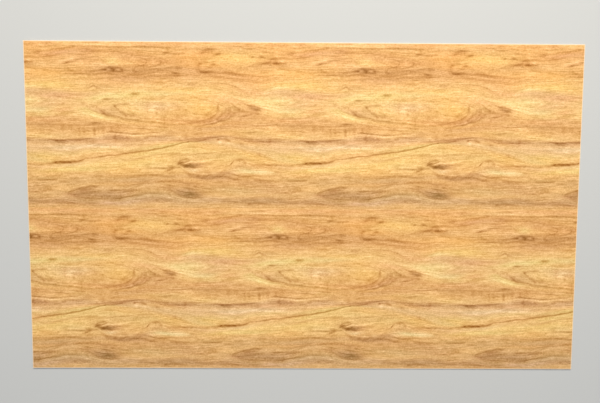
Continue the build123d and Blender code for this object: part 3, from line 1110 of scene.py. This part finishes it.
def place_group():
    """Where a point of the face lies on the repeat, from object space."""
    g, _ = open_group(
        "print_place",
        [],
        [
            ("Float", name)
            for name in ("x", "x drawn", "y drawn", "y loose", "cos", "sin", "along", "across")
        ],
    )
    place = g.node("ShaderNodeTexCoord").outputs["Object"]
    split = g.node("ShaderNodeSeparateXYZ")
    g.put(split.inputs[0], place)
    across = g.math("MULTIPLY_ADD", split.outputs[1], -1000.0, WIDTH / 2)
    along = g.math("MULTIPLY_ADD", split.outputs[0], 1000.0, LENGTH / 2)
    row = g.math("FLOOR", g.math("DIVIDE", g.math("ADD", across, SEAM), ROW))
    y = g.math("MULTIPLY_ADD", row, -ROW, across)
    x = g.math("FLOORED_MODULO", g.math("MULTIPLY_ADD", row, ROW_STEP, along), REPEAT)
    angle = g.math("MULTIPLY", x, 2 * math.pi / REPEAT)
    ring = g.math("COSINE", angle), g.math("SINE", angle)
    # A slow wobble keeps the drawn marks from looking drawn.
    slow = centred(g, grain_noise(g, ring, y, 60.0, 16.0, 1.0, 0.5, 31.0))
    fine = centred(g, grain_noise(g, ring, y, 16.0, 5.0, 1.0, 0.6, 77.0))
    y_drawn = g.math("MULTIPLY_ADD", slow, 3.2, y)
    y_drawn = g.math("MULTIPLY_ADD", fine, 1.4, y_drawn)
    y_loose = g.math("MULTIPLY_ADD", fine, 7.0, g.math("MULTIPLY_ADD", slow, 14.0, y))
    x_drawn = g.math("MULTIPLY_ADD", fine, 9.0, x)
    # Cycles works a value out as soon as it can and holds it until it is used.
    # With the noise in x too, no mark is begun long before it is added on.
    x_line = g.math("MULTIPLY_ADD", fine, 2.0, x)
    return close_group(g, (x_line, x_drawn, y_drawn, y_loose, *ring, along, across))


def streak_group():
    """Streaks along the grain, from wide bands down to fibres and pores."""
    g, given = open_group(
        "print_streaks",
        [("Float", name) for name in ("cos", "sin", "level", "plain", "y")],
        [("Vector", "tone")] + [("Float", name) for name in ("fine", "fibres", "streaks", "speck")],
    )
    # Bands and streaks go round the knots and fibres run past. The smallest
    # specks keep their size where the grain opens out.
    ring, level, plain, y = (given[0], given[1]), *given[2:5]
    tint = centred(g, grain_noise(g, ring, level, 120.0, 24.0, 0.0, 0.5, 29.0))
    orange = g.math("MULTIPLY", tint, 12.0)
    bands = centred(g, grain_noise(g, ring, level, 210.0, 11.0, 2.0, 0.55, 5.0))
    wide = g.math("MULTIPLY", bands, 10.0)
    value = g.math("MULTIPLY", bands, 28.0)
    streaks = grain_noise(g, ring, level, 60.0, 3.4, 2.0, 0.5, 17.0)
    value = g.math("MULTIPLY_ADD", centred(g, streaks), 76.0, value)
    fibres = grain_noise(g, ring, plain, 17.0, 1.5, 1.0, 0.6, 41.0)
    value = g.math("MULTIPLY_ADD", centred(g, fibres), 34.0, value)
    mottle = centred(g, grain_noise(g, ring, y, 18.0, 6.0, 2.0, 0.65, 53.0))
    value = g.math("MULTIPLY_ADD", mottle, 50.0, value)
    speck = grain_noise(g, ring, y, 5.5, 4.0, 1.0, 0.5, 67.0)
    value = g.math("MULTIPLY_ADD", centred(g, speck), 58.0, value)
    # Thin growth lines where a slow noise crosses its middle, in some places.
    ridge = g.math("ABSOLUTE", centred(g, grain_noise(g, ring, level, 150.0, 7.0, 1.0, 0.5, 91.0)))
    ridge = g.span(ridge, 0.045, 0.0, 0.0, 1.0, smooth=True)
    gate = g.span(grain_noise(g, ring, level, 90.0, 22.0, 1.0, 0.5, 13.0), 0.42, 0.62)
    value = g.math("MULTIPLY_ADD", g.math("MULTIPLY", ridge, gate), -13.0, value)
    return close_group(g, (g.join(wide, orange), value, fibres, streaks, speck))


def level_group(name, left, right, top, foot):
    """The grain field over one patch, from the guides that reach it."""
    def spread(points):
        return [between(points, at) for at in steps(left, right, 33)]

    first = max(
        (i for i, (_, pts) in enumerate(GUIDES) if max(spread(pts)) < top - 6), default=0
    )
    final = min(
        (i for i, (_, pts) in enumerate(GUIDES) if min(spread(pts)) > foot + 6),
        default=len(GUIDES) - 1,
    )
    g, given = open_group(
        name,
        [("Float", "x"), ("Float", "y drawn"), ("Float", "y loose")],
        [("Float", "level"), ("Float", "ringed")],
    )
    share = g.math("DIVIDE", given[0], REPEAT)
    level, upper, last, loops = float(GUIDES[first][0]), None, 0, None
    for h, points in GUIDES[first : final + 1]:
        line = g.curve(share, [(px / REPEAT, (py + 10) / 630) for px, py in points])
        line = g.math("MULTIPLY_ADD", line, 630.0, -10.0)
        if upper is not None:
            level = g.math("ADD", level, g.span(given[1], upper, line, 0.0, float(h - last)))
        if (last, h) == OVAL[:2] and left < OVAL[5] and right > OVAL[2]:
            down = g.math("SUBTRACT", given[2], upper)
            rise = g.math("MULTIPLY", g.math("SUBTRACT", line, given[2]), 0.8)
            loops = g.math("MAXIMUM", g.math("SMOOTH_MIN", down, rise, 9.0), 0.0)
            open_end = g.span(given[0], OVAL[2], OVAL[3], 0.0, 1.0, smooth=True)
            far_end = g.span(given[0], OVAL[5], OVAL[4], 0.0, 1.0, smooth=True)
            loops = g.math("MULTIPLY", loops, g.math("MULTIPLY", open_end, far_end))
        upper, last = line, h
    plain = level
    if loops is not None:
        level = g.math("ADD", level, loops)
    for rx, ry, a, b in RINGS:
        for cx in (rx - REPEAT, rx, rx + REPEAT):
            if left < cx + a + 8 and cx - a - 8 < right and top < ry + b + 5 and ry - b - 5 < foot:
                off = g.join(
                    g.math("MULTIPLY_ADD", given[0], 1 / a, -cx / a),
                    g.math("MULTIPLY_ADD", given[2], 1 / b, -ry / b),
                )
                # Between an oval and a lozenge, which gives the rings their tips.
                corner = g.vec("DOT_PRODUCT", g.vec("ABSOLUTE", off), (0.4, 0.4, 0.0))
                away = g.math("MULTIPLY_ADD", g.vec("LENGTH", off), 0.6, corner)
                # The grain comes in level at the top and is turned over below.
                drop = g.math("MULTIPLY_ADD", away, -b, level_at(rx, ry - b) + b)
                tilt = g.vec("DOT_PRODUCT", off, (0.0, 0.2 * b, 0.0))
                inner = g.math("ADD", drop, tilt)
                share = g.span(away, 1.0, 0.78, 0.0, 1.0, smooth=True)
                change = g.math("SUBTRACT", inner, level)
                level = g.math("MULTIPLY_ADD", share, change, level)
    return close_group(g, (plain, level))


def fade_of(points):
    """A line's strength along it, nought at both ends unless it runs off."""
    x0, x1 = points[0][0], points[-1][0]
    if len(points[0]) < 3:
        fade = [(0.0, 0.0), (0.16, 0.75), (0.4, 1.0), (0.62, 1.0), (0.86, 0.7), (1.0, 0.0)]
        if x0 <= 1:
            fade = [(0.0, 0.9)] + fade[2:]
        if x1 >= REPEAT - 1:
            fade = fade[:-2] + [(0.86, 0.95), (1.0, 0.9)]
        return fade
    fade = [((p[0] - x0) / (x1 - x0), p[2]) for p in points]
    if x0 > 2 and fade[0][1] > 0:
        fade[0] = (0.0, 0.0)
        fade.insert(1, (min(6.0 / (x1 - x0), fade[1][0] / 2), points[0][2]))
    if x1 < REPEAT - 2 and fade[-1][1] > 0:
        fade[-1] = (1.0, 0.0)
        fade.insert(-1, (max(1 - 6.0 / (x1 - x0), (1 + fade[-2][0]) / 2), points[-1][2]))
    return fade


def add_spot(g, given, total, item, centre):
    rx, ry, change = item[2], item[3] * pace(item[0], item[1]), item[4]
    slope = item[5] * pace(item[0], item[1]) if len(item) > 5 else 0.0
    where = g.vec(
        "MULTIPLY_ADD",
        given["spot"],
        (1 / rx, 1 / ry, 0.0),
        (-centre[0] / rx, -centre[1] / ry, 0.0),
    )
    if slope:
        # Turned by shearing: a step along x moves the middle up or down.
        lean = g.vec("DOT_PRODUCT", where, (-slope * rx / ry, 1.0, 0.0))
        run = g.vec("DOT_PRODUCT", where, (1.0, 0.0, 0.0))
        where = g.join(run, lean, 0.0)
    bell = g.math("POWER", math.exp(-0.8), g.vec("DOT_PRODUCT", where, where))
    bell = g.join(bell, bell, bell)
    return g.vec("MULTIPLY_ADD", bell, tuple(map(float, change)), total)


def add_line(g, given, total, item):
    points, half, change = item[:3]
    half *= 1.6
    x0, x1 = float(points[0][0]), float(points[-1][0])
    t = g.span(given["x"], x0, x1, clamp=False)
    centre = g.curve(t, [((p[0] - x0) / (x1 - x0), (p[1] + 10) / 630) for p in points])
    off = g.math("SUBTRACT", given["unit"], centre)
    if len(item) > 3:
        below = g.math("MULTIPLY", off, half / (1.6 * item[3]))
        off = g.math("MAXIMUM", below, g.math("MULTIPLY", off, -1.0))
    else:
        off = g.math("ABSOLUTE", off)
    strength = g.curve(t, fade_of(points))
    mask = g.span(off, half / 630, 0.0, 0.0, strength, smooth=True)
    mask = g.join(mask, mask, mask)
    return g.vec("MULTIPLY_ADD", mask, tuple(map(float, change)), total)


def is_wash(item):
    """True for a spot broad enough to carry a hue of its own."""
    return item[2] >= 20 and item[3] >= 6.5


def mark_groups(name, spots, lines, left, right, top, foot):
    """The marks that reach one patch, a few dozen to a group."""
    patch = (left, right, top, foot)
    marks = [(add_spot, (s, c)) for s in spots for c in reaches(s, *patch)]
    marks += [(add_line, (s,)) for s in lines if crosses(s, *patch)]
    made = []
    for start in range(0, len(marks), 24):
        g, given = open_group(
            f"{name}_{start}",
            [("Vector", "spot"), ("Float", "x"), ("Float", "unit"), ("Vector", "total")],
            [("Vector", "total")],
        )
        names = {"spot": given[0], "x": given[1], "unit": given[2]}
        total = given[3]
        for add, args in marks[start : start + 24]:
            total = add(g, names, total, *args)
        made.append(close_group(g, (total,)))
    return made


# Display colours by tone (0..255 luminance), darkest first.
PALETTE = [
    (60, (96, 60, 27)),
    (100, (140, 94, 44)),
    (125, (165, 115, 58)),
    (140, (187, 133, 72)),
    (155, (206, 149, 89)),
    (164, (215, 158, 96)),
    (176, (227, 170, 106)),
    (189, (238, 184, 118)),
    (202, (246, 197, 128)),
    (215, (250, 212, 141)),
    (226, (253, 223, 152)),
    (240, (255, 234, 172)),
]
BASE_TONE = 195.0
ALBEDO = 0.86  # how much of the display colour is the film's own
NARROW_HUE = 0.3  # how far narrow marks go with the palette, not just dark or pale


def face_material(name, patch, place, streaks):
    mat = bpy.data.materials.new(name)
    level_tree = level_group(name + "_level", *patch)
    washes = mark_groups(name + "_washes", [s for s in SPOTS if is_wash(s)], [], *patch)
    marks = mark_groups(name + "_marks", [s for s in SPOTS if not is_wash(s)], LINES, *patch)
    mat.use_nodes = True
    tree = mat.node_tree
    tree.nodes.clear()
    g = Graph(tree)
    x, x_drawn, y_drawn, y_loose, cos, sin, along, across = g.use(place, ())
    level, ringed = g.use(level_tree, (x, y_drawn, y_loose))
    unit = g.math("MULTIPLY_ADD", y_drawn, 1 / 630, 10 / 630)
    spot = g.join(x_drawn, level, 0.0)
    total = (0.0, 0.0, 0.0)
    for item in washes:
        (total,) = g.use(item, (spot, x, unit, total))
    broad = total
    for item in marks:
        (total,) = g.use(item, (spot, x, unit, total))
    narrow = g.vec("SUBTRACT", total, broad)
    grain, fine, fibres, streak, speck = g.use(streaks, (cos, sin, ringed, level, y_drawn))
    split = g.node("ShaderNodeSeparateXYZ")
    hued = g.vec("MULTIPLY_ADD", narrow, (NARROW_HUE,) * 3, g.vec("ADD", broad, grain))
    g.put(split.inputs[0], hued)
    value, orange, pink = split.outputs
    fine = g.math("ADD", g.vec("DOT_PRODUCT", narrow, (1 - NARROW_HUE, 0.0, 0.0)), fine)

    # Darks run deeper than the pale parts rise.
    skew = g.math("MULTIPLY_ADD", value, -0.0015, 1.05)
    tone = g.math("MULTIPLY_ADD", value, skew, BASE_TONE)
    stops = [((t - 60) / 180, tuple(ALBEDO * c for c in linear(*rgb))) for t, rgb in PALETTE]
    colour = g.ramp(g.span(tone, 60.0, 240.0), stops)
    split = g.node("ShaderNodeSeparateColor")
    g.put(split.inputs[0], colour)
    parts = []
    for part, by_orange, by_pink, share in zip(
        split.outputs,
        (0.0061, 0.0017, -0.0140),
        (0.0052, -0.0092, 0.0065),
        (0.98, 1.0, 1.02),
    ):
        gain = g.math("MULTIPLY_ADD", orange, by_orange, 1.0)
        gain = g.math("MULTIPLY_ADD", pink, by_pink, gain)
        # Fine detail is as dark or pale in every part, so it has no hue.
        shown = g.math("POWER", g.math("MULTIPLY", part, gain), 1 / 2.2)
        shown = g.math("MULTIPLY_ADD", fine, share * ALBEDO ** (1 / 2.2) / 255, shown)
        parts.append(g.math("POWER", g.math("MAXIMUM", shown, 0.02), 2.2))

    # The saw leaves a narrow bare rim where the film is scraped back.
    far = g.math("MINIMUM", across, g.math("SUBTRACT", WIDTH, across))
    side = g.math("MINIMUM", along, g.math("SUBTRACT", LENGTH, along))
    ragged = g.math("MULTIPLY_ADD", speck, 1.2, g.math("MINIMUM", far, side))
    rim = g.span(ragged, 2.0, 3.9, 0.82, 0.0, smooth=True)
    join = g.node("ShaderNodeCombineColor")
    for socket, part in zip(join.inputs, parts):
        g.put(socket, part)
    colour = g.mix(rim, join.outputs[0], (*linear(250, 222, 188), 1.0))

    shader = g.node("ShaderNodeBsdfPrincipled")
    shader.inputs["Specular IOR Level"].default_value = 0.16
    g.put(shader.inputs["Base Color"], colour)
    g.put(shader.inputs["Roughness"], g.math("MULTIPLY_ADD", fibres, 0.16, 0.44))

    # A shallow emboss of pores along the fibres.
    pores = g.span(fibres, 0.38, 0.56, 0.0, 1.0, smooth=True)
    bump = g.node("ShaderNodeBump")
    bump.inputs["Strength"].default_value = 0.35
    bump.inputs["Distance"].default_value = 0.00012
    g.put(bump.inputs["Height"], g.math("MULTIPLY_ADD", streak, 0.6, pores))
    g.put(shader.inputs["Normal"], bump.outputs[0])

    out = g.node("ShaderNodeOutputMaterial")
    tree.links.new(shader.outputs[0], out.inputs["Surface"])
    return mat


def face_materials():
    """One material for each patch of the repeat, row by row."""
    place, streaks = place_group(), streak_group()
    return [
        face_material(f"print_{r}_{c}", (a, b, top, foot), place, streaks)
        for r, (top, foot) in enumerate(zip(ROWS, ROWS[1:]))
        for c, (a, b) in enumerate(zip(COLUMNS, COLUMNS[1:]))
    ]


def patch_of(x, y):
    """Which patch's material a point of the face takes, from its place in m."""
    across, along = WIDTH / 2 - y * 1000, LENGTH / 2 + x * 1000
    row = math.floor((across + SEAM) / ROW)
    at, down = (along + row * ROW_STEP) % REPEAT, across - row * ROW
    r = max(i for i, edge in enumerate(ROWS[:-1]) if down >= edge)
    c = max(i for i, edge in enumerate(COLUMNS[:-1]) if at >= edge)
    return r * (len(COLUMNS) - 1) + c


def plain_material(name, base, rough, scratch):
    """Bare off-white PVC: scratch stretches its fine marks along X, Y, Z."""
    mat = bpy.data.materials.new(name)
    mat.use_nodes = True
    tree = mat.node_tree
    tree.nodes.clear()
    g = Graph(tree)
    place = g.node("ShaderNodeTexCoord").outputs["Object"]
    fine = g.noise(g.vec("MULTIPLY", place, scratch), 1.0, 3.0, 0.6)
    cloud = g.noise(g.vec("MULTIPLY", place, (3.1, 4.3, 9.0)), 1.0, 3.0, 0.55)
    dark = tuple(c * 0.88 for c in base)
    pale = tuple(min(c * 1.05, 1.0) for c in base)
    colour = g.ramp(
        g.math("MULTIPLY_ADD", fine, 0.55, g.math("MULTIPLY", cloud, 0.45)),
        [(0.30, dark), (0.50, base), (0.72, pale)],
    )
    shader = g.node("ShaderNodeBsdfPrincipled")
    shader.inputs["Specular IOR Level"].default_value = 0.4
    g.put(shader.inputs["Base Color"], colour)
    g.put(shader.inputs["Roughness"], g.math("MULTIPLY_ADD", fine, 0.18, rough - 0.09))
    bump = g.node("ShaderNodeBump")
    bump.inputs["Strength"].default_value = 0.4
    bump.inputs["Distance"].default_value = 0.00010
    g.put(bump.inputs["Height"], fine)
    g.put(shader.inputs["Normal"], bump.outputs[0])
    out = g.node("ShaderNodeOutputMaterial")
    tree.links.new(shader.outputs[0], out.inputs["Surface"])
    return mat


# ---------------------------------------------------------------------------
# The sheet's mesh
# ---------------------------------------------------------------------------
def grid_lines(marks, gap):
    """The given lines, with even steps of about gap between them."""
    marks = sorted(set(marks))
    lines = marks[:1]
    for a, b in zip(marks, marks[1:]):
        n = max(1, round((b - a) / gap))
        lines += [a + (b - a) * i / n for i in range(1, n + 1)]
    return lines


# The grid's lines fall on the print's patches, in metres from the middle.
XS = [0.0, LENGTH] + [b + k * REPEAT - n * ROW_STEP for b in COLUMNS for n in (0, 1) for k in range(-1, 4)]
XS = [x / 1000 - LENGTH / 2000 for x in grid_lines([x for x in XS if 0 <= x <= LENGTH], 25.0)]
YS = [0.0, WIDTH] + [WIDTH - b - n * ROW for b in ROWS for n in (0, 1)]
YS = [y / 1000 - WIDTH / 2000 for y in grid_lines([y for y in YS if 0 <= y <= WIDTH], 25.0)]
NX, NY = len(XS) - 1, len(YS) - 1
EDGE = (len(ROWS) - 1) * (len(COLUMNS) - 1)  # the edge's material slot
BACK = EDGE + 1


def lift(x, y):
    """How far the resting sheet stands off the floor, in metres: a fraction of
    a millimetre of memory from storage, a little more at two corners."""
    u, v = x / 1.025, y / 0.61
    roll = 0.00022 * (1 + math.cos(2.1 * math.pi * u + 0.6))
    cup = 0.00016 * (1 + math.sin(1.7 * math.pi * v - 0.9 * u))
    ends = 0.00075 * max(0.0, u * v) ** 3 + 0.0004 * max(0.0, -u * v) ** 4
    return roll + cup + ends


def sheet_mesh():
    bm = bmesh.new()
    rim = 0.00035  # radius of the wiped edge
    hx, hy = LENGTH / 2000, WIDTH / 2000
    thick = THICK / 1000

    def ring(inset, z):
        """Corner-to-corner outline points, in order, at a height."""
        x1, y1 = hx - inset, hy - inset
        xs = [-x1, *XS[1:-1], x1]
        ys = [-y1, *YS[1:-1], y1]
        loop = [(x, -y1) for x in xs[:-1]] + [(x1, y) for y in ys[:-1]]
        loop += [(x, y1) for x in reversed(xs[1:])] + [(-x1, y) for y in reversed(ys[1:])]
        return [bm.verts.new((x, y, z + lift(x, y))) for x, y in loop]

    def plate(z, outline):
        """A grid of vertices that shares the outline's."""
        grid = {}
        for n, vert in enumerate(outline):
            if n < NX:
                key = (n, 0)
            elif n < NX + NY:
                key = (NX, n - NX)
            elif n < 2 * NX + NY:
                key = (2 * NX + NY - n, NY)
            else:
                key = (0, 2 * NX + 2 * NY - n)
            grid[key] = vert
        for i in range(1, NX):
            for j in range(1, NY):
                grid[i, j] = bm.verts.new((XS[i], YS[j], z + lift(XS[i], YS[j])))
        return grid

    # Outline rings from the face down to the back, through both rounded rims.
    profile = []
    for a in (0, 30, 60, 90):
        s, c = math.sin(math.radians(a)), math.cos(math.radians(a))
        profile.append((rim * (1 - s), thick - rim * (1 - c)))
    for a in (90, 60, 30, 0):
        s, c = math.sin(math.radians(a)), math.cos(math.radians(a))
        profile.append((rim * (1 - s), rim * (1 - c)))
    rings = [ring(inset, z) for inset, z in profile]
    count = len(rings[0])
    faces = {"edge": [], "face": [], "back": []}
    for upper, lower in zip(rings, rings[1:]):
        for n in range(count):
            m = (n + 1) % count
            faces["edge"].append(bm.faces.new((upper[n], lower[n], lower[m], upper[m])))
    top, base = plate(thick, rings[0]), plate(0.0, rings[-1])
    for i in range(NX):
        for j in range(NY):
            a, b, c, d = (i, j), (i + 1, j), (i + 1, j + 1), (i, j + 1)
            faces["face"].append(bm.faces.new([top[k] for k in (a, b, c, d)]))
            faces["back"].append(bm.faces.new([base[k] for k in (d, c, b, a)]))
    for f in faces["face"]:
        middle = f.calc_center_median()
        f.material_index = patch_of(middle.x, middle.y)
    for kind, index in (("edge", EDGE), ("back", BACK)):
        for f in faces[kind]:
            f.material_index = index
    for f in bm.faces:
        f.smooth = True

    # A flat layout: the printed face large, the back and the edges in strips.
    uv = bm.loops.layers.uv.new("OFBake")
    for f in faces["face"]:
        for loop in f.loops:
            x, y, _ = loop.vert.co
            loop[uv].uv = (0.002 + 0.996 * (x / hx + 1) / 2, 0.172 + 0.826 * (y / hy + 1) / 2)
    for f in faces["back"]:
        for loop in f.loops:
            x, y, _ = loop.vert.co
            loop[uv].uv = (0.998 - 0.996 * (x / hx + 1) / 2, 0.050 + 0.114 * (y / hy + 1) / 2)
    for n, f in enumerate(faces["edge"]):
        level, at = divmod(n, count)
        if at < NX:
            strip, start, size = 0, 0, NX
        elif at < NX + NY:
            strip, start, size = 1, NX, NY
        elif at < 2 * NX + NY:
            strip, start, size = 2, NX + NY, NX
        else:
            strip, start, size = 3, 2 * NX + NY, NY
        v0 = 0.002 + strip * 0.0115
        bands = len(rings) - 1
        corners = ((at - start, level), (at - start, level + 1),
                   (at - start + 1, level + 1), (at - start + 1, level))
        for loop, (along, down) in zip(f.loops, corners):
            loop[uv].uv = (0.002 + 0.996 * along / size, v0 + 0.0095 * (1 - down / bands))

    mesh = bpy.data.meshes.new("wood_grain_sheet")
    bm.normal_update()
    bm.to_mesh(mesh)
    bm.free()
    return mesh


mesh = sheet_mesh()
sheet = bpy.data.objects.new("wood_grain_sheet", mesh)
bpy.context.scene.collection.objects.link(sheet)
for item in face_materials():
    mesh.materials.append(item)
mesh.materials.append(
    plain_material("sawn_edge", linear(232, 224, 208), 0.62, (900.0, 900.0, 160.0))
)
mesh.materials.append(
    plain_material("bare_back", linear(226, 222, 212), 0.55, (14.0, 90.0, 10.0))
)
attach(sheet, "root")
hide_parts(NODE)

# ---------------------------------------------------------------------------
# Floor and light
# ---------------------------------------------------------------------------
floor_mesh = bpy.data.meshes.new("floor")
turns = [2 * math.pi * i / 128 for i in range(128)]
floor_mesh.from_pydata(
    [(60 * math.cos(a), 60 * math.sin(a), 0) for a in turns], [], [tuple(range(128))]
)
floor = bpy.data.objects.new("floor", floor_mesh)
floor.location.z = -0.0002
bpy.context.scene.collection.objects.link(floor)
floor_mat = bpy.data.materials.new("floor")
floor_mat.use_nodes = True
bsdf = floor_mat.node_tree.nodes["Principled BSDF"]
bsdf.inputs["Base Color"].default_value = (0.56, 0.56, 0.55, 1.0)
bsdf.inputs["Roughness"].default_value = 0.85
bsdf.inputs["Specular IOR Level"].default_value = 0.2
floor_mesh.materials.append(floor_mat)


def softbox(name, place, aim, size, watts, colour=(1.0, 1.0, 1.0), spread=180.0):
    data = bpy.data.lights.new(name, "AREA")
    data.shape = "RECTANGLE"
    data.size, data.size_y = size
    data.energy = watts
    data.color = colour
    data.spread = math.radians(spread)
    lamp = bpy.data.objects.new(name, data)
    lamp.location = place
    lamp.rotation_euler = (Vector(aim) - Vector(place)).to_track_quat("-Z", "Y").to_euler()
    bpy.context.scene.collection.objects.link(lamp)
    return lamp


softbox(
    "key", (0.3, 4.0, 3.6), (0.0, 0.15, 0.0), (4.2, 2.2), 138.5, (1.0, 0.951, 0.84), 110.0
)
softbox("fill", (0.0, -3.2, 3.2), (0.0, -0.1, 0.0), (4.0, 2.0), 12.0)

world = bpy.data.worlds.new("studio")
bpy.context.scene.world = world
world.use_nodes = True
world.node_tree.nodes["Background"].inputs[0].default_value = (0.857, 0.91, 1.0, 1.0)
world.node_tree.nodes["Background"].inputs[1].default_value = 0.468

bpy.context.scene.view_settings.view_transform = "Standard"
bpy.context.scene.view_settings.look = "None"
